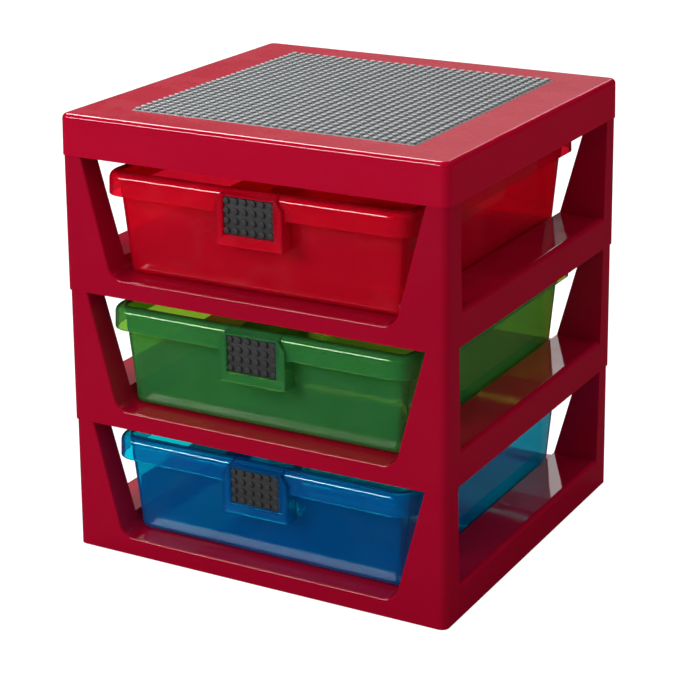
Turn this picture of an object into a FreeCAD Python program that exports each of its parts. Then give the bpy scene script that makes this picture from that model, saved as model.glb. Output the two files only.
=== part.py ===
import FreeCAD, Part
import os
from FreeCAD import Vector

# Casing outline at the bottom edge of a tier. X runs across the front, the front looks along -Y, Z is up.
casing_w = 347.4
casing_d = 329.7
casing_draft = 0.95
casing_corner_r = 6.5
casing_wall = 2.5
tier_h = 113.4
tier_names = ["lower", "middle", "upper"]

# Trough that a drawer slides in, open at the front, at the rear and upwards
trough_floor_z = 15.0
trough_floor_hw = 128.8
trough_top_hw = 154.2
trough_corner_r = 13.4
fascia_edge_r = 1.6

# Side windows between the posts, and the ledge under them
ledge_z = 28.4
ledge_edge_r = 3.6
post_depth = 24.5
post_draft = 2.7

# Spigots on the post tops, which locate the moulding above
spigot_h = 9.0
spigot_gap = 0.3

# Top cover
cover_h = 33.9
cover_inset = 0.1
cover_draft = 0.6
cover_corner_r = 7.0
cover_edge_r = 4.2
cover_wall = 2.5
cover_rib_t = 1.8
cover_rib_h = 8.0
cover_rib_shares = [-0.25, 0.0, 0.25]

# Studded plate let into the cover
stud_pitch = 8.0
stud_count = 32
stud_r = 2.4
stud_h = 1.7
plate_margin = 0.4
plate_t = 1.9
plate_gap = 0.3
plate_corner_r = 1.2

# Drawer body
drawer_floor_gap = 0.3
drawer_floor_hw = 124.8
drawer_floor_hd = 143.6
drawer_top_hw = 131.6
drawer_top_hd = 149.2
drawer_floor_r = 6.5
drawer_top_r = 8.0
drawer_edge_r = 6.2
drawer_wall = 2.2

# Drawer rim, a rolled edge with a skirt that hangs outside the body
rim_top_z = 102.0
rim_skirt_z = 83.4
rim_hw = 140.8
rim_hd = 158.6
rim_draft = 0.5
rim_corner_r = 20.0
rim_roll_r = 6.5
rim_inner_r = 2.8

# Finger pull in the middle of the rim, with a shallow seat for a small studded plate
pull_front_y = 161.6
pull_low_z = 58.0
pull_hw = 30.6
pull_top_hw = 25.0
pull_flare_z = 90.5
pull_lip_z = 99.0
pull_lip_y = 154.0

# Small studded plate of the pull
badge_w = 45.4
badge_h = 31.0
badge_z = 82.1
badge_t = 1.6
badge_sink = 0.8
badge_gap = 0.2
badge_columns = 6
badge_rows = 4

# A length that only takes a cutting tool clear of the surface it cuts
overrun = 4.0

# Sizes that follow
casing_hw = casing_w / 2
casing_hd = casing_d / 2
stack_h = tier_h * len(tier_names)
tier_top_hw = casing_hw - casing_draft
tier_top_hd = casing_hd - casing_draft
spigot_hw = casing_hw - casing_wall - spigot_gap
spigot_hd = casing_hd - casing_wall - spigot_gap
spigot_r = casing_corner_r - casing_wall
spigot_top = tier_h + spigot_h
trough_slope = (trough_top_hw - trough_floor_hw) / (tier_h - trough_floor_z)
window_low_hd = casing_hd - post_depth
plate_hw = stud_pitch * stud_count / 2 + plate_margin
cover_top_hw = casing_hw - cover_inset - cover_draft
cover_top_hd = casing_hd - cover_inset - cover_draft
drawer_low_z = trough_floor_z + drawer_floor_gap
seat_depth = badge_t + stud_h + badge_sink
seat_hw = badge_w / 2 + badge_gap
seat_hh = badge_h / 2 + badge_gap


def outline(hw, hd, r, z):
    """Closed rectangle with round corners at height z."""
    runs = [
        (Vector(hw - r, -hd, z), Vector(hw, -hd + r, z), Vector(hw - r, -hd + r, z), -45),
        (Vector(hw, hd - r, z), Vector(hw - r, hd, z), Vector(hw - r, hd - r, z), 45),
        (Vector(-hw + r, hd, z), Vector(-hw, hd - r, z), Vector(-hw + r, hd - r, z), 135),
        (Vector(-hw, -hd + r, z), Vector(-hw + r, -hd, z), Vector(-hw + r, -hd + r, z), 225),
    ]
    edges = []
    for i, (start, end, centre, turn) in enumerate(runs):
        spoke = FreeCAD.Rotation(Vector(0, 0, 1), turn).multVec(Vector(r, 0, 0))
        edges.append(Part.Arc(start, centre + spoke, end).toShape())
        edges.append(Part.makeLine(end, runs[(i + 1) % len(runs)][0]))
    return Part.Wire(edges)


def tapered(low, high):
    """Solid between two outlines, each given as half width, half depth, corner radius and height."""
    return Part.makeLoft([outline(*low), outline(*high)], True, True)


def block(x0, x1, y0, y1, z0, z1):
    """Box between two corners."""
    return Part.makeBox(x1 - x0, y1 - y0, z1 - z0, Vector(x0, y0, z0))


def extruded(points, direction):
    """Prism on a closed polygon."""
    return Part.Face(Part.makePolygon(points + points[:1])).extrude(direction)


def round_edges(shape, radius, chosen):
    """Rounds the edges for which chosen(edge) is true."""
    edges = [edge for edge in shape.Edges if chosen(edge)]
    return shape.makeFillet(radius, edges)


def lies_at(edge, axis, value):
    """True for an edge that lies in the plane where this axis has this value."""
    box = edge.BoundBox
    low = getattr(box, axis + "Min")
    high = getattr(box, axis + "Max")
    near = casing_wall / 100
    return abs(low - value) < near and abs(high - value) < near


def trough(grow):
    """Space of the trough, grown by a wall thickness on its floor and sides."""
    low = trough_floor_z - grow
    high = spigot_top + overrun
    lean = (1 + trough_slope ** 2) ** 0.5
    low_hw = trough_floor_hw - trough_slope * grow + grow * lean
    high_hw = low_hw + trough_slope * (high - low)
    reach = casing_hd + overrun
    points = [
        Vector(-low_hw, -reach, low),
        Vector(low_hw, -reach, low),
        Vector(high_hw, -reach, high),
        Vector(-high_hw, -reach, high),
    ]
    prism = extruded(points, Vector(0, 2 * reach, 0))
    corner_r = trough_corner_r + grow
    return round_edges(prism, corner_r, lambda e: lies_at(e, "Z", low) and e.BoundBox.YLength > reach)


def windows(grow):
    """Space of the two side windows and what lies between them, grown by a wall thickness."""
    low = ledge_z - grow
    high = spigot_top + overrun
    slope = post_draft / (tier_h - ledge_z)
    low_hd = window_low_hd + grow - slope * grow
    high_hd = low_hd + slope * (high - low)
    reach = casing_hw + overrun
    points = [
        Vector(-reach, -low_hd, low),
        Vector(-reach, low_hd, low),
        Vector(-reach, high_hd, high),
        Vector(-reach, -high_hd, high),
    ]
    return extruded(points, Vector(2 * reach, 0, 0))


def tier_frame():
    """One tier of the casing, standing on z = 0: four hollow posts round a trough."""
    shell = tapered(
        (casing_hw, casing_hd, casing_corner_r, 0),
        (tier_top_hw, tier_top_hd, casing_corner_r, tier_h),
    )
    spigots = tapered(
        (spigot_hw, spigot_hd, spigot_r, tier_h - casing_wall),
        (spigot_hw - spigot_gap, spigot_hd - spigot_gap, spigot_r, spigot_top),
    )
    body = shell.fuse(spigots).cut(trough(0))
    body = round_edges(
        body,
        fascia_edge_r,
        lambda e: e.BoundBox.ZMax < ledge_z
        and e.BoundBox.ZMin > trough_floor_z / 2
        and e.BoundBox.YLength < casing_wall,
    )
    body = body.cut(windows(0))
    body = round_edges(
        body,
        ledge_edge_r,
        lambda e: lies_at(e, "Z", ledge_z)
        and e.BoundBox.YLength > casing_hd
        and abs(e.CenterOfMass.x) > trough_top_hw,
    )
    core_r = casing_corner_r - casing_wall
    core_low = tapered(
        (casing_hw - casing_wall, casing_hd - casing_wall, core_r, -overrun),
        (tier_top_hw - casing_wall, tier_top_hd - casing_wall, core_r, tier_h - casing_wall),
    )
    core_hw = spigot_hw - casing_wall
    core_hd = spigot_hd - casing_wall
    core_high = tapered(
        (core_hw, core_hd, spigot_r / 2, tier_h - 2 * casing_wall),
        (core_hw - spigot_gap, core_hd - spigot_gap, spigot_r / 2, spigot_top - casing_wall),
    )
    core = core_low.fuse(core_high).cut(trough(casing_wall)).cut(windows(casing_wall))
    return body.cut(core)


def top_cover():
    """Flat lid on z = 0 with a square recess for the studded plate."""
    low_hw = casing_hw - cover_inset
    low_hd = casing_hd - cover_inset
    lid = tapered(
        (low_hw, low_hd, cover_corner_r, 0),
        (cover_top_hw, cover_top_hd, cover_corner_r, cover_h),
    )
    lid = round_edges(lid, cover_edge_r, lambda e: lies_at(e, "Z", cover_h))
    roof = cover_h - plate_t - cover_wall
    hollow = tapered(
        (low_hw - cover_wall, low_hd - cover_wall, cover_corner_r - cover_wall, -overrun),
        (cover_top_hw - cover_wall, cover_top_hd - cover_wall, cover_corner_r - cover_wall, roof),
    )
    lid = lid.cut(hollow)
    seat_hw_plate = plate_hw + plate_gap
    lid = lid.cut(tapered(
        (seat_hw_plate, seat_hw_plate, plate_corner_r + plate_gap, cover_h - plate_t),
        (seat_hw_plate, seat_hw_plate, plate_corner_r + plate_gap, cover_h + overrun),
    ))
    low = roof - cover_rib_h
    high = roof + cover_wall / 2
    end_x = cover_top_hw - cover_wall / 2
    end_y = cover_top_hd - cover_wall / 2
    ribs = []
    for share in cover_rib_shares:
        x = share * casing_w
        y = share * casing_d
        ribs.append(block(x - cover_rib_t / 2, x + cover_rib_t / 2, -end_y, end_y, low, high))
        ribs.append(block(-end_x, end_x, y - cover_rib_t / 2, y + cover_rib_t / 2, low, high))
    return lid.multiFuse(ribs).removeSplitter()


def studded(width, height, thickness, corner, columns, rows):
    """Flat plate on z = 0 with a grid of studs on its upper face, made as one closed shell."""
    low = outline(width / 2, height / 2, corner, 0)
    high = outline(width / 2, height / 2, corner, thickness)
    slab = Part.makeLoft([low, high], True, True)
    faces = [face for face in slab.Faces if not lies_at(face, "Z", thickness)]
    rims = []
    for column in range(columns):
        for row in range(rows):
            x = (column - (columns - 1) / 2) * stud_pitch
            y = (row - (rows - 1) / 2) * stud_pitch
            stud = Part.makeCylinder(stud_r, stud_h, Vector(x, y, thickness))
            faces += [face for face in stud.Faces if not lies_at(face, "Z", thickness)]
            rims.append(Part.Wire(Part.makeCircle(stud_r, Vector(x, y, thickness))))
    top = Part.Face([high] + rims)
    top.validate()
    shell = Part.Shell([top] + faces)
    shell.sewShape()
    return Part.Solid(shell)


def drawer_body(grow, low_z, high_z):
    """Tapered body between two heights, drawn in by a wall thickness, with round floor edges and corners."""
    rings = []
    for z in (low_z, high_z):
        share = (z - drawer_low_z) / (rim_top_z - drawer_low_z)
        hw = drawer_floor_hw + (drawer_top_hw - drawer_floor_hw) * share
        hd = drawer_floor_hd + (drawer_top_hd - drawer_floor_hd) * share
        r = drawer_floor_r + (drawer_top_r - drawer_floor_r) * share
        rings.append((hw - grow, hd - grow, r - grow, z))
    return round_edges(tapered(*rings), drawer_edge_r - grow, lambda e: lies_at(e, "Z", low_z))


def pull_block(inset, low_z):
    """Front outline of the finger pull, drawn in by a wall thickness, back to the middle of the drawer."""
    top = rim_top_z - inset
    points = [
        Vector(-pull_hw + inset, 0, low_z),
        Vector(pull_hw - inset, 0, low_z),
        Vector(pull_hw - inset, 0, pull_flare_z),
        Vector(pull_top_hw - inset, 0, pull_lip_z),
        Vector(pull_top_hw - inset, 0, top),
        Vector(-pull_top_hw + inset, 0, top),
        Vector(-pull_top_hw + inset, 0, pull_lip_z),
        Vector(-pull_hw + inset, 0, pull_flare_z),
    ]
    front = extruded(points, Vector(0, -pull_front_y, 0))
    reach = pull_hw + overrun
    profile = [
        Vector(-reach, -pull_front_y + inset, low_z - overrun),
        Vector(-reach, -pull_front_y + inset, pull_lip_z - inset),
        Vector(-reach, -pull_lip_y + inset, top),
        Vector(-reach, 0, top),
        Vector(-reach, 0, low_z - overrun),
    ]
    return front.common(extruded(profile, Vector(2 * reach, 0, 0)))


def drawer():
    """Drawer in the place it has when closed in the tier that stands on z = 0."""
    shell = drawer_body(0, drawer_low_z, rim_top_z)
    rim = tapered(
        (rim_hw, rim_hd, rim_corner_r, rim_skirt_z),
        (rim_hw - rim_draft, rim_hd - rim_draft, rim_corner_r, rim_top_z),
    )
    rim = round_edges(rim, rim_roll_r, lambda e: lies_at(e, "Z", rim_top_z))
    under_z = rim_top_z - drawer_wall
    under_hw = rim_hw - drawer_wall
    under_hd = rim_hd - drawer_wall
    under_r = rim_corner_r - drawer_wall
    channel = tapered(
        (under_hw, under_hd, under_r, rim_skirt_z - overrun),
        (under_hw - rim_draft, under_hd - rim_draft, under_r, under_z),
    )
    channel = round_edges(channel, rim_roll_r - drawer_wall, lambda e: lies_at(e, "Z", under_z))
    pull = pull_block(0, pull_low_z)
    hollow = pull_block(drawer_wall, pull_low_z - overrun)
    seat_y = -pull_front_y + seat_depth
    seat_low = badge_z - seat_hh
    pocket_hw = seat_hw + drawer_wall
    pocket_low = seat_low - drawer_wall
    pocket = block(-pocket_hw, pocket_hw, -pull_front_y, seat_y + drawer_wall, pocket_low, rim_top_z)
    seat = block(-seat_hw, seat_hw, -pull_front_y - overrun, seat_y, seat_low, badge_z + seat_hh)
    rolled = rim.fuse(pull).cut(channel.cut(pull)).cut(hollow.cut(pocket))
    cavity = drawer_body(drawer_wall, drawer_low_z + drawer_wall, rim_top_z + overrun)
    whole = rolled.fuse(shell).cut(cavity).cut(seat).removeSplitter()
    return round_edges(
        whole,
        rim_inner_r,
        lambda e: lies_at(e, "Z", rim_top_z)
        and abs(e.CenterOfMass.x) < drawer_top_hw
        and abs(e.CenterOfMass.y) < drawer_top_hd,
    )


def stacked(shape, level):
    """Copy of a tier piece lifted to its level."""
    copy = shape.copy()
    copy.translate(Vector(0, 0, level * tier_h))
    return copy


os.makedirs("parts", exist_ok=True)

frame_shape = tier_frame()
drawer_shape = drawer()
badge_shape = studded(badge_w, badge_h, badge_t, badge_gap, badge_columns, badge_rows)
badge_shape.rotate(Vector(0, 0, 0), Vector(1, 0, 0), 90)
badge_shape.translate(Vector(0, -pull_front_y + seat_depth, badge_z))

for level, name in enumerate(tier_names):
    stacked(frame_shape, level).exportStep("parts/" + name + "_frame.step")
    stacked(drawer_shape, level).exportStep("parts/" + name + "_drawer.step")
    stacked(badge_shape, level).exportStep("parts/" + name + "_pull_plate.step")

cover_shape = top_cover()
cover_shape.translate(Vector(0, 0, stack_h))
cover_shape.exportStep("parts/top_cover.step")

plate_shape = studded(2 * plate_hw, 2 * plate_hw, plate_t, plate_corner_r, stud_count, stud_count)
plate_shape.translate(Vector(0, 0, stack_h + cover_h - plate_t))
plate_shape.exportStep("parts/stud_plate.step")
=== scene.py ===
import math

import bmesh
import bpy
from mathutils import Matrix, Vector


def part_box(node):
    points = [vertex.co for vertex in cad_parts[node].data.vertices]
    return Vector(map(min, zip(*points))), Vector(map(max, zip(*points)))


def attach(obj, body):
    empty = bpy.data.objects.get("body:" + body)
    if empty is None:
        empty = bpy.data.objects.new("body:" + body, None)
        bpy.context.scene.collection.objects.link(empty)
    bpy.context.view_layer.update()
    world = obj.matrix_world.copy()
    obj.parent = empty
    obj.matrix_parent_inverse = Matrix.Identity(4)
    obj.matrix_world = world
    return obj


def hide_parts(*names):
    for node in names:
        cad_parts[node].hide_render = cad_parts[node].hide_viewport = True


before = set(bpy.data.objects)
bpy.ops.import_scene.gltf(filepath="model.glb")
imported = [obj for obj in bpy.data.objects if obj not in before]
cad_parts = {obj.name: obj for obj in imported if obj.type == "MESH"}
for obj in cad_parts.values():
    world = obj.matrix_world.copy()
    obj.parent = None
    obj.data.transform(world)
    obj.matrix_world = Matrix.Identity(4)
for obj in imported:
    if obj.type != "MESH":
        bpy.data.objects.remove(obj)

bl_info = {
    "name": "Brick Shaped Storage Drawers",
    "version": (1, 0, 0),
    "blender": (4, 5, 0),
    "location": "3D View > Sidebar > Drawers",
    "description": "Dresses a stacked drawer unit in glossy and tinted plastic",
    "category": "Object",
}

MM = 0.001
SHARP_ANGLE = math.radians(35)
LEVELS = ("lower", "middle", "upper")
CASING_NODES = ("lower_frame", "middle_frame", "upper_frame", "top_cover")
PULL_COLUMNS = 6
PULL_ROWS = 4
FLOOR_REACH = 6.0
FLOOR_DROP = 0.4 * MM
SENSOR_WIDTH = 36.0

# The lamps face a point inside the unit.
LAMP_AIM = (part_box("lower_frame")[0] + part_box("stud_plate")[1]) / 2


class Port:
    """A shader socket that takes part in Python sums."""

    def __init__(self, shader, socket):
        self.shader = shader
        self.socket = socket

    def joined(self, operation, first, second):
        return self.shader.node("Math", {"operation": operation}, (first, second))

    def __add__(self, other):
        return self.joined("ADD", self, other)

    def __radd__(self, other):
        return self.joined("ADD", other, self)

    def __sub__(self, other):
        return self.joined("SUBTRACT", self, other)

    def __rsub__(self, other):
        return self.joined("SUBTRACT", other, self)

    def __mul__(self, other):
        return self.joined("MULTIPLY", self, other)

    def __rmul__(self, other):
        return self.joined("MULTIPLY", other, self)

    def __truediv__(self, other):
        return self.joined("DIVIDE", self, other)

    def __rtruediv__(self, other):
        return self.joined("DIVIDE", other, self)

    def at_most(self, limit):
        return self.joined("MINIMUM", self, limit)

    def above(self, edge, width):
        """Smooth step from 0 to 1 that starts at edge and takes width."""
        settings = {"interpolation_type": "SMOOTHSTEP"}
        return self.shader.node("MapRange", settings, (self, edge, edge + width, 0.0, 1.0))


class Shader:
    """Node tree of a material or world, written as Python calls."""

    def __init__(self, owner):
        owner.use_nodes = True
        self.tree = owner.node_tree
        self.tree.nodes.clear()

    def node(self, kind, settings=None, values=(), output=0):
        """Adds a node, sets it, gives its inputs values or links, and returns one output."""
        made = self.tree.nodes.new("ShaderNode" + kind)
        for name, value in (settings or {}).items():
            setattr(made, name, value)
        named = values.items() if isinstance(values, dict) else enumerate(values)
        for key, value in named:
            if isinstance(value, Port):
                self.tree.links.new(value.socket, made.inputs[key])
            else:
                made.inputs[key].default_value = value
        return Port(self, made.outputs[output]) if made.outputs else None

    def noise(self, place, size, detail):
        """Noise from 0 to 1 whose lumps are about size across, in metres."""
        return self.node("TexNoise", None, {"Vector": place, "Scale": 1 / size, "Detail": detail})

    def mixed(self, share, first, second):
        """Colour between two colours."""
        settings = {"data_type": "RGBA"}
        return self.node("Mix", settings, {"Factor": share, 6: first, 7: second}, output=2)

    def varied(self, share, colour, spread):
        """Colour that is darker or lighter by up to spread."""
        return self.mixed(share, shade(colour, 1 - spread), shade(colour, 1 + spread))

    def bumped(self, height, depth, under=None):
        """Normal of a surface that stands up to depth proud, in metres."""
        values = {"Height": height, "Distance": depth, "Strength": 1.0}
        if under is not None:
            values["Normal"] = under
        return self.node("Bump", None, values)

    def place(self):
        """Coordinates of the point in the object's own frame."""
        return self.node("TexCoord", output="Object")

    def part(self, vector, axis):
        """One coordinate of a place or direction."""
        return self.node("SeparateXYZ", None, (vector,), output=axis)

    def ray(self, fact):
        """A fact about the ray that asks for a colour, such as Is Camera Ray."""
        return self.node("LightPath", output=fact)

    def sight(self):
        """Two shares of a ray: seen straight or through clear plastic, and mirrored on its way."""
        clear = self.ray("Is Transmission Ray")
        turned = self.ray("Glossy Depth").at_most(1.0)
        seen = self.ray("Is Camera Ray") + clear * (1 - turned)
        mirrored = self.ray("Is Glossy Ray") * (1 - clear) + clear * turned
        return seen, mirrored

    def finish(self, surface, kind="OutputMaterial"):
        self.node(kind, None, {"Surface": surface})


def shade(colour, factor):
    """A colour made lighter or darker, with full alpha."""
    return tuple(min(1.0, part * factor) for part in colour[:3]) + (1.0,)


def grey(level):
    """Opaque grey, from 0 for black to 1 for white."""
    return (level, level, level, 1.0)


def casing_plastic(name, colour, lit_lid_colour, lid_low, gloss):
    """Opaque glossy moulded plastic with a faint waviness.

    Above the height lid_low it has a second, lighter colour, painted light for the brighter light
    near the top, and its level faces are satin.
    """
    material = bpy.data.materials.new(name)
    tree = Shader(material)
    place = tree.place()
    normal = tree.node("NewGeometry", output="Normal")
    cloud = tree.noise(place, 90 * MM, detail=3.0)
    smudge = tree.noise(place, 35 * MM, detail=5.0).above(0.45, width=0.25)
    peel = tree.noise(place, 1.6 * MM, detail=1.0)
    sink = tree.noise(place, 60 * MM, detail=1.0)
    lid = tree.part(place, "Z").above(lid_low, width=0.1 * MM)
    level = tree.part(normal, "Z").above(0.95, width=0.04)
    frame_tint = tree.varied(cloud, colour, 0.06)
    # Painted light: the lid takes a lighter colour than the frames, for the brighter light near
    # the top.
    lit_lid_tint = tree.varied(cloud, lit_lid_colour, 0.06)
    satin = lid * level * 0.2
    wavy = tree.bumped(sink, 0.35 * MM)
    surface = tree.node("BsdfPrincipled", None, {
        "Base Color": tree.mixed(lid, frame_tint, lit_lid_tint),
        "Roughness": gloss + smudge * 0.05 + satin,
        "IOR": 1.5,
        "Normal": tree.bumped(peel, 0.004 * MM, under=wavy),
    })
    tree.finish(surface)
    return material


def tinted_plastic(name, body, through, milk):
    """Clear tinted plastic whose milky share scatters a colour of its own.

    Faint pale wisps run through it, like flow lines in a moulding.
    """
    material = bpy.data.materials.new(name)
    tree = Shader(material)
    place = tree.place()
    cloud = tree.noise(place, 40 * MM, detail=4.0)
    flow = tree.noise(place, 12 * MM, detail=2.0)
    normal = tree.bumped(flow, 0.05 * MM)
    # A wisp runs where the noise crosses its middle value, and falls off to both sides.
    sharpness = 45
    offset = (tree.noise(place, 75 * MM, detail=6.0) - 0.5) * sharpness
    wisp = 1 / (1 + offset * offset)
    glass = tree.node("BsdfPrincipled", None, {
        "Base Color": shade(through, 1.0),
        "Roughness": 0.02,
        "IOR": 1.45,
        "Transmission Weight": 1.0,
        "Normal": normal,
    })
    # A wall has two faces, so each lets the square root of the tint pass to the shadow.
    face_tint = tuple(part ** 0.5 for part in through) + (1.0,)
    clear = tree.node("BsdfTransparent", None, {"Color": face_tint})
    passing = tree.node("MixShader", None, (tree.ray("Is Shadow Ray"), glass, clear))
    solid = tree.node("BsdfPrincipled", None, {
        "Base Color": tree.mixed(wisp * 0.01, tree.varied(cloud, body, 0.1), grey(1.0)),
        "Roughness": 0.06 + cloud * 0.05,
        "IOR": 1.52,
        "Normal": normal,
    })
    # Clouds and wisps make the plastic a little more or less milky.
    milky = milk + (cloud - 0.5) * 0.08 + wisp * 0.02
    tree.finish(tree.node("MixShader", None, (milky, passing, solid)))
    return material


def satin_plastic(name, colour, roughness, top_sheen=None):
    """Satin moulded plastic with a fine grain.

    The optional pale colour and height paint the studs' tops lighter as a painted sheen, and leave
    their sides and the plate darker as painted shade between the studs.
    """
    material = bpy.data.materials.new(name)
    tree = Shader(material)
    place = tree.place()
    cloud = tree.noise(place, 25 * MM, detail=4.0)
    grain = tree.noise(place, 0.35 * MM, detail=2.0)
    tint = tree.varied(cloud, colour, 0.08)
    # Painted sheen on the studs' tops, with painted shade left on their sides and on the plate.
    if top_sheen:
        pale, height = top_sheen
        sheen_share = tree.part(place, "Z").above(height - 0.6 * MM, width=0.5 * MM)
        tint = tree.mixed(sheen_share, tint, tree.varied(cloud, pale, 0.08))
    surface = tree.node("BsdfPrincipled", None, {
        "Base Color": tint,
        "Roughness": roughness + (cloud - 0.5) * 0.1,
        "IOR": 1.5,
        "Normal": tree.bumped(grain, 0.01 * MM),
    })
    tree.finish(surface)
    return material


def set_material(piece, material):
    """Gives a piece its only material."""
    piece.data.materials.clear()
    piece.data.materials.append(material)


def add_piece(name, shape, body, material, replaced):
    """Puts a finished shape in the scene as a piece that stands in for a node."""
    piece = bpy.data.objects.new(name, mesh_from(shape, name))
    bpy.context.scene.collection.objects.link(piece)
    set_material(piece, material)
    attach(piece, body)
    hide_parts(replaced)


def mesh_from(shape, name):
    """Mesh of a bmesh, smooth but for its sharp edges."""
    for face in shape.faces:
        face.smooth = True
    for edge in shape.edges:
        edge.smooth = len(edge.link_faces) == 2 and edge.calc_face_angle(0.0) < SHARP_ANGLE
    mesh = bpy.data.meshes.new(name)
    shape.to_mesh(mesh)
    shape.free()
    return mesh


def repeated(shape, count, step):
    """Copies of a shape side by side, a step apart, with their middle on the origin."""
    unit = bpy.data.meshes.new("unit")
    shape.to_mesh(unit)
    shape.free()
    step = Vector(step)
    unit.transform(Matrix.Translation(step * (1 - count) / 2))
    row = bmesh.new()
    for _ in range(count):
        row.from_mesh(unit)
        unit.transform(Matrix.Translation(step))
    bpy.data.meshes.remove(unit)
    return row


def stud(settings, base):
    """One stud: a short cylinder, open below, with a rounded rim."""
    shape = bmesh.new()
    place = Matrix.Translation((0, 0, base - settings.stud_root))
    radius = settings.stud_radius
    rim = settings.stud_rim
    bmesh.ops.create_circle(shape, segments=settings.stud_sides, radius=radius, matrix=place)
    edges = shape.edges[:]
    rise = settings.stud_height + settings.stud_root - rim
    # Each step lifts a new ring and sets it in from the stud's side.
    for lift, inset in ((rise, 0.0), (rim * 0.7, 0.3 * rim), (rim * 0.3, rim)):
        grown = bmesh.ops.extrude_edge_only(shape, edges=edges)["geom"]
        ring = [part for part in grown if isinstance(part, bmesh.types.BMVert)]
        sides = [part for part in grown if isinstance(part, bmesh.types.BMEdge)]
        edges = [side for side in sides if all(corner in ring for corner in side.verts)]
        bmesh.ops.translate(shape, vec=(0, 0, lift), verts=ring)
        scale = (radius - inset) / ring[0].co.xy.length
        bmesh.ops.scale(shape, vec=(scale, scale, 1), verts=ring)
    bmesh.ops.contextual_create(shape, geom=edges)
    bmesh.ops.recalc_face_normals(shape, faces=shape.faces)
    return shape


def rounded(shape, edges, radius, segments):
    """Rounds edges of a shape."""
    bmesh.ops.bevel(
        shape, geom=edges, offset=radius, segments=segments,
        affect="EDGES", profile=0.5, material=-1,
    )


def studded_plate(settings, columns, rows, width, height, thickness):
    """Plate on z = 0 with rounded edges, and a stud with a rounded rim on each grid point."""
    pitch = settings.stud_pitch
    row = repeated(stud(settings, thickness), columns, (pitch, 0, 0))
    shape = repeated(row, rows, (0, pitch, 0))
    slab = bmesh.new()
    bmesh.ops.create_cube(slab, size=1.0)
    bmesh.ops.scale(slab, vec=(width, height, thickness), verts=slab.verts)
    bmesh.ops.translate(slab, vec=(0, 0, thickness / 2), verts=slab.verts)
    upright = [edge for edge in slab.edges if edge.verts[0].co.xy == edge.verts[1].co.xy]
    rounded(slab, upright, settings.plate_corner, segments=5)
    brim = [edge for edge in slab.edges if all(end.co.z > thickness / 2 for end in edge.verts)]
    rounded(slab, brim, settings.plate_edge, segments=2)
    mesh = bpy.data.meshes.new("slab")
    slab.to_mesh(mesh)
    slab.free()
    shape.from_mesh(mesh)
    bpy.data.meshes.remove(mesh)
    return shape


def colour_property(name, description, default):
    return bpy.props.FloatVectorProperty(
        name=name, description=description, subtype="COLOR", size=3,
        default=default, min=0, max=1,
    )


def share_property(name, description, default):
    return bpy.props.FloatProperty(
        name=name, description=description, subtype="FACTOR", default=default, min=0, max=1,
    )


def length_property(name, description, default):
    return bpy.props.FloatProperty(
        name=name, description=description, unit="LENGTH", default=default,
    )


def number_property(name, description, default, **limits):
    return bpy.props.FloatProperty(name=name, description=description, default=default, **limits)


class SurfaceSettings(bpy.types.PropertyGroup):
    """Colours and finishes of the plastics."""

    casing: colour_property(
        "Casing", "Colour of the opaque tier frames", (0.315, 0.0012, 0.018),
    )
    # Painted light: the lid's colour is lighter than the frames' colour, for the brighter light
    # near the top.
    lid: colour_property(
        "Lid", "Colour of the opaque lid, painted lighter than the frames as painted light", (0.40, 0.0015, 0.021),
    )
    casing_gloss: share_property(
        "Casing roughness", "Roughness of the casing's polished faces", 0.06,
    )
    blue_body: colour_property(
        "Blue body", "Colour that the blue drawer scatters", (0.0, 0.108, 0.36),
    )
    blue_through: colour_property(
        "Blue tint", "Tint of light through one wall of the blue drawer", (0.003, 0.86, 0.93),
    )
    blue_milk: share_property(
        "Blue milkiness", "Share of light that one face of the blue drawer scatters", 0.28,
    )
    green_body: colour_property(
        "Green body", "Colour that the green drawer scatters", (0.042, 0.235, 0.083),
    )
    green_through: colour_property(
        "Green tint", "Tint of light through one wall of the green drawer", (0.40, 0.70, 0.04),
    )
    green_milk: share_property(
        "Green milkiness", "Share of light that one face of the green drawer scatters", 0.36,
    )
    red_body: colour_property(
        "Red body", "Colour that the red drawer scatters", (0.62, 0.003, 0.029),
    )
    red_through: colour_property(
        "Red tint", "Tint of light through one wall of the red drawer", (0.92, 0.008, 0.036),
    )
    red_milk: share_property(
        "Red milkiness", "Share of light that one face of the red drawer scatters", 0.35,
    )
    plate: colour_property(
        "Stud plate", "Colour of the plate on the lid", (0.165, 0.171, 0.175),
    )
    # Painted sheen: a paler colour on the studs' tops, which leaves their sides and the plate
    # darker as painted shade.
    plate_sheen: colour_property(
        "Stud top sheen", "Colour painted on the studs' tops as a painted sheen", (0.35, 0.362, 0.37),
    )
    plate_roughness: share_property(
        "Stud plate roughness", "Roughness of the plate on the lid", 0.38,
    )
    pull: colour_property(
        "Pull plates", "Colour of the small plates in the finger pulls", (0.037, 0.036, 0.038),
    )
    pull_roughness: share_property(
        "Pull plate roughness", "Roughness of the small plates in the finger pulls", 0.55,
    )


class StudSettings(bpy.types.PropertyGroup):
    """Sizes of the studs and of the plates that carry them."""

    stud_pitch: length_property("Pitch", "Distance from stud to stud", 8 * MM)
    stud_radius: length_property("Radius", "Radius of a stud", 2.4 * MM)
    stud_height: length_property("Height", "Height of a stud", 1.7 * MM)
    stud_rim: length_property("Rim", "Rounding of a stud's rim", 0.3 * MM)
    stud_root: length_property("Root", "Depth of a stud below the plate's face", 0.2 * MM)
    stud_sides: bpy.props.IntProperty(
        name="Sides", description="Sides of a stud", default=20, min=8, max=48,
    )
    plate_corner: length_property("Plate corner", "Radius of a plate's corners", 1.2 * MM)
    plate_edge: length_property("Plate edge", "Rounding of a plate's upper edge", 0.25 * MM)


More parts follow.
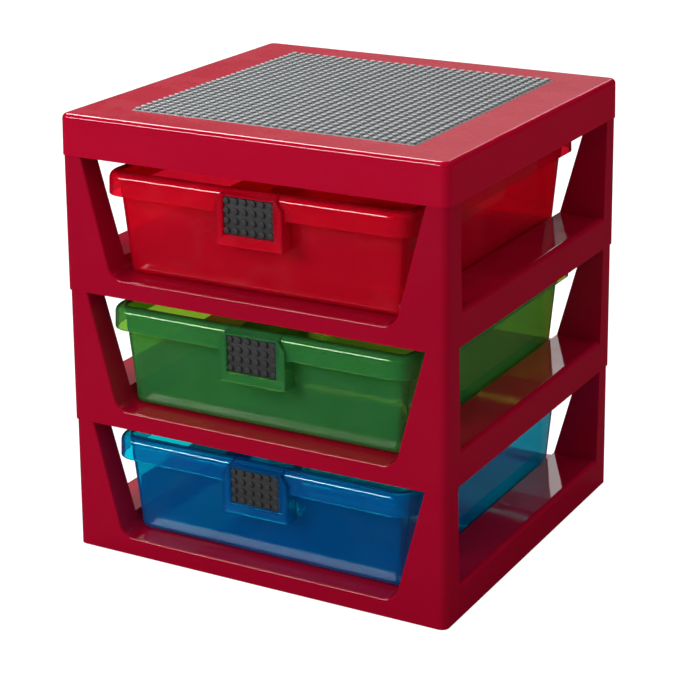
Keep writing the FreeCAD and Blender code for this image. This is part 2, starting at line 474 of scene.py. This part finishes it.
class StageSettings(bpy.types.PropertyGroup):
    """Camera and light from all round."""

    focal: number_property("Lens", "Focal length", 106.36, min=10, max=300)
    shift_x: number_property("Shift X", "Sideways shift of the lens", -0.06)
    shift_y: number_property("Shift Y", "Upward shift of the lens", -0.1)
    azimuth: number_property("Azimuth", "Degrees from the front towards the right", 28.13)
    pitch: number_property("Pitch", "Degrees that the camera looks down", 17.67)
    roll: number_property("Roll", "Degrees that the camera leans", -0.21)
    place: bpy.props.FloatVectorProperty(
        name="Place", description="Where the camera stands", subtype="TRANSLATION", size=3,
        default=(0.7897, -1.4215, 0.7382),
    )
    ambient: number_property("Ambient", "Light from all round", 0.35, min=0, max=2)


class DRAWERS_OT_casing(bpy.types.Operator):
    """Dresses the three tier frames and the lid"""

    bl_idname = "drawers.casing"
    bl_label = "Casing"

    def execute(self, context):
        look = context.scene.drawer_surfaces
        lid_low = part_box("top_cover")[0].z
        red = casing_plastic("casing_red", look.casing, look.lid, lid_low, look.casing_gloss)
        for name in CASING_NODES:
            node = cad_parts[name]
            node.material_slots[0].material = red
        return {"FINISHED"}


class DRAWERS_OT_drawers(bpy.types.Operator):
    """Dresses the three drawers"""

    bl_idname = "drawers.drawers"
    bl_label = "Drawers"

    def execute(self, context):
        look = context.scene.drawer_surfaces
        plastics = {
            "lower": ("drawer_blue", look.blue_body, look.blue_through, look.blue_milk),
            "middle": ("drawer_green", look.green_body, look.green_through, look.green_milk),
            "upper": ("drawer_red", look.red_body, look.red_through, look.red_milk),
        }
        for level in LEVELS:
            slot, body, through, milk = plastics[level]
            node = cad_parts[level + "_drawer"]
            node.material_slots[0].material = tinted_plastic(slot, body, through, milk)
        return {"FINISHED"}


class DRAWERS_OT_stud_plate(bpy.types.Operator):
    """Builds the studded plate of the lid"""

    bl_idname = "drawers.stud_plate"
    bl_label = "Stud plate"

    def execute(self, context):
        look = context.scene.drawer_surfaces
        studs = context.scene.drawer_studs
        low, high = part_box("stud_plate")
        width, depth, height = (top - bottom for bottom, top in zip(low, high))
        thickness = height - studs.stud_height
        count = round(width / studs.stud_pitch)
        shape = studded_plate(studs, count, count, width, depth, thickness)
        bmesh.ops.translate(shape, vec=(0, 0, low.z), verts=shape.verts)
        # Painted sheen: the studs' tops are painted paler, and their sides and the plate stay
        # darker as painted shade.
        top_sheen = (look.plate_sheen, high.z)
        plastic = satin_plastic("plate_grey", look.plate, look.plate_roughness, top_sheen)
        add_piece("top_stud_plate", shape, "casing", plastic, "stud_plate")
        return {"FINISHED"}


class DRAWERS_OT_pull_plates(bpy.types.Operator):
    """Builds the small studded plates of the finger pulls"""

    bl_idname = "drawers.pull_plates"
    bl_label = "Pull plates"

    def execute(self, context):
        look = context.scene.drawer_surfaces
        studs = context.scene.drawer_studs
        plastic = satin_plastic("pull_grey", look.pull, look.pull_roughness)
        upright = Matrix.Rotation(math.radians(90), 3, "X")
        for level in LEVELS:
            drawer, node = level + "_drawer", level + "_pull_plate"
            low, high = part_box(node)
            middle = (low + high) / 2
            width, depth, height = (top - bottom for bottom, top in zip(low, high))
            thickness = depth - studs.stud_height
            shape = studded_plate(studs, PULL_COLUMNS, PULL_ROWS, width, height, thickness)
            bmesh.ops.rotate(shape, matrix=upright, verts=shape.verts)
            bmesh.ops.translate(shape, vec=(middle.x, high.y, middle.z), verts=shape.verts)
            add_piece(drawer + "_label_plate", shape, drawer, plastic, node)
        return {"FINISHED"}


class DRAWERS_OT_stage(bpy.types.Operator):
    """Makes the floor, the background, the lamps and the camera"""

    bl_idname = "drawers.stage"
    bl_label = "Stage"

    def execute(self, context):
        stage = context.scene.drawer_stage
        context.scene.view_settings.view_transform = "Standard"
        make_world(stage)
        make_floor()
        make_lamps()
        make_camera(stage)
        return {"FINISHED"}


def make_world(stage):
    """White for the camera, soft light for the surfaces, and a bright backdrop to mirror."""
    world = bpy.data.worlds.new("studio")
    bpy.context.scene.world = world
    tree = Shader(world)
    way = tree.node("TexCoord", output="Generated")
    right, back, up = (tree.part(way, axis) for axis in "XYZ")
    seen, mirrored = tree.sight()
    # The backdrop stands behind the unit, a little to the left, and its upper part is brighter.
    behind = back.above(0.0, width=0.5)
    beside = right.above(-0.62, width=0.26) * (1 - right.above(-0.2, width=0.2))
    height = up.above(-0.05, width=0.1) * (1 - up.above(0.41, width=0.06))
    shine = 0.12 + up.above(0.27, width=0.1) * 1.8
    backdrop = behind * beside * height * shine
    soft = stage.ambient + right.above(-0.3, width=1.2) * 0.45
    level = seen + mirrored * backdrop + (1 - seen - mirrored) * soft
    surface = tree.node("Background", None, {"Color": grey(1.0), "Strength": level})
    tree.finish(surface, "OutputWorld")


def make_floor():
    """Pale floor that shows white with the object's soft shadow, and looks dark in gloss."""
    shape = bmesh.new()
    bmesh.ops.create_grid(shape, x_segments=1, y_segments=1, size=FLOOR_REACH)
    bmesh.ops.translate(shape, vec=(0, 0, -FLOOR_DROP), verts=shape.verts)
    floor = bpy.data.objects.new("floor", mesh_from(shape, "floor"))
    bpy.context.scene.collection.objects.link(floor)
    material = bpy.data.materials.new("floor_white")
    tree = Shader(material)
    seen, mirrored = tree.sight()
    # To the camera, the glow and the light that the floor scatters add up to white.
    glow = tree.node("Emission", None, {"Color": grey(1.0), "Strength": seen * 0.93})
    pale = tree.mixed(mirrored, grey(0.45), grey(0.02))
    matt = tree.node("BsdfDiffuse", None, {"Color": tree.mixed(seen, pale, grey(0.2))})
    tree.finish(tree.node("AddShader", None, (glow, matt)))
    set_material(floor, material)


def make_lamp(name, way, distance, spread, radiance, mirrored):
    """Rectangle of light that faces the unit from a direction and spans two angles.

    It either shows in gloss or lights the rest, never both.
    """
    back = Vector(way).normalized()
    side = (Vector((1, 0, 0)) - back * back.x).normalized()
    turn = Matrix((side, back.cross(side), back)).transposed()
    data = bpy.data.lights.new(name, "AREA")
    data.shape = "RECTANGLE"
    width, height = (2 * distance * math.tan(math.radians(angle / 2)) for angle in spread)
    data.size, data.size_y = width, height
    data.energy = radiance * math.pi * width * height
    lamp = bpy.data.objects.new(name, data)
    lamp.matrix_world = Matrix.Translation(LAMP_AIM + back * distance) @ turn.to_4x4()
    lamp.visible_glossy = mirrored
    lamp.visible_diffuse = not mirrored
    bpy.context.scene.collection.objects.link(lamp)


def make_lamps():
    """Two broad boxes light the unit, and two narrow strips give its edges bright lines."""
    make_lamp(
        "key_box", way=(-0.45, -0.74, 0.50), distance=2.8, spread=(30, 25),
        radiance=9.3, mirrored=False,
    )
    make_lamp(
        "top_box", way=(-0.45, 0.28, 0.85), distance=3.5, spread=(32, 28),
        radiance=10.0, mirrored=False,
    )
    make_lamp(
        "key_strip", way=(-0.51, -0.71, 0.48), distance=2.8, spread=(24, 8),
        radiance=19.0, mirrored=True,
    )
    make_lamp(
        "top_strip", way=(-0.51, 0.40, 0.76), distance=3.5, spread=(24, 14),
        radiance=18.0, mirrored=True,
    )


def make_camera(stage):
    """Camera at the photograph's viewing angle."""
    data = bpy.data.cameras.new("camera")
    data.sensor_width = SENSOR_WIDTH
    data.lens = stage.focal
    data.shift_x = stage.shift_x
    data.shift_y = stage.shift_y
    camera = bpy.data.objects.new("camera", data)
    bpy.context.scene.collection.objects.link(camera)
    turn = Matrix.Rotation(math.radians(stage.azimuth), 4, "Z")
    tilt = Matrix.Rotation(math.radians(90 - stage.pitch), 4, "X")
    lean = Matrix.Rotation(math.radians(stage.roll), 4, "Z")
    camera.matrix_world = Matrix.Translation(stage.place) @ turn @ tilt @ lean
    bpy.context.scene.camera = camera


class DRAWERS_PT_panel(bpy.types.Panel):
    """Lists the steps that dress the drawer unit"""

    bl_label = "Storage drawers"
    bl_space_type = "VIEW_3D"
    bl_region_type = "UI"
    bl_category = "Drawers"

    def draw(self, context):
        for step in STEPS:
            self.layout.operator(step.bl_idname)


STEPS = (
    DRAWERS_OT_casing,
    DRAWERS_OT_drawers,
    DRAWERS_OT_stud_plate,
    DRAWERS_OT_pull_plates,
    DRAWERS_OT_stage,
)
GROUPS = {
    "drawer_surfaces": SurfaceSettings,
    "drawer_studs": StudSettings,
    "drawer_stage": StageSettings,
}


def register():
    for kind in (*GROUPS.values(), *STEPS, DRAWERS_PT_panel):
        bpy.utils.register_class(kind)
    for name, kind in GROUPS.items():
        setattr(bpy.types.Scene, name, bpy.props.PointerProperty(type=kind))


def unregister():
    for name in GROUPS:
        delattr(bpy.types.Scene, name)
    for kind in reversed((*GROUPS.values(), *STEPS, DRAWERS_PT_panel)):
        bpy.utils.unregister_class(kind)


def main():
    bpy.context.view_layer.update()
    register()
    bpy.ops.drawers.stage()
    bpy.ops.drawers.casing()
    bpy.ops.drawers.drawers()
    bpy.ops.drawers.stud_plate()
    bpy.ops.drawers.pull_plates()


if __name__ == "__main__":
    main()
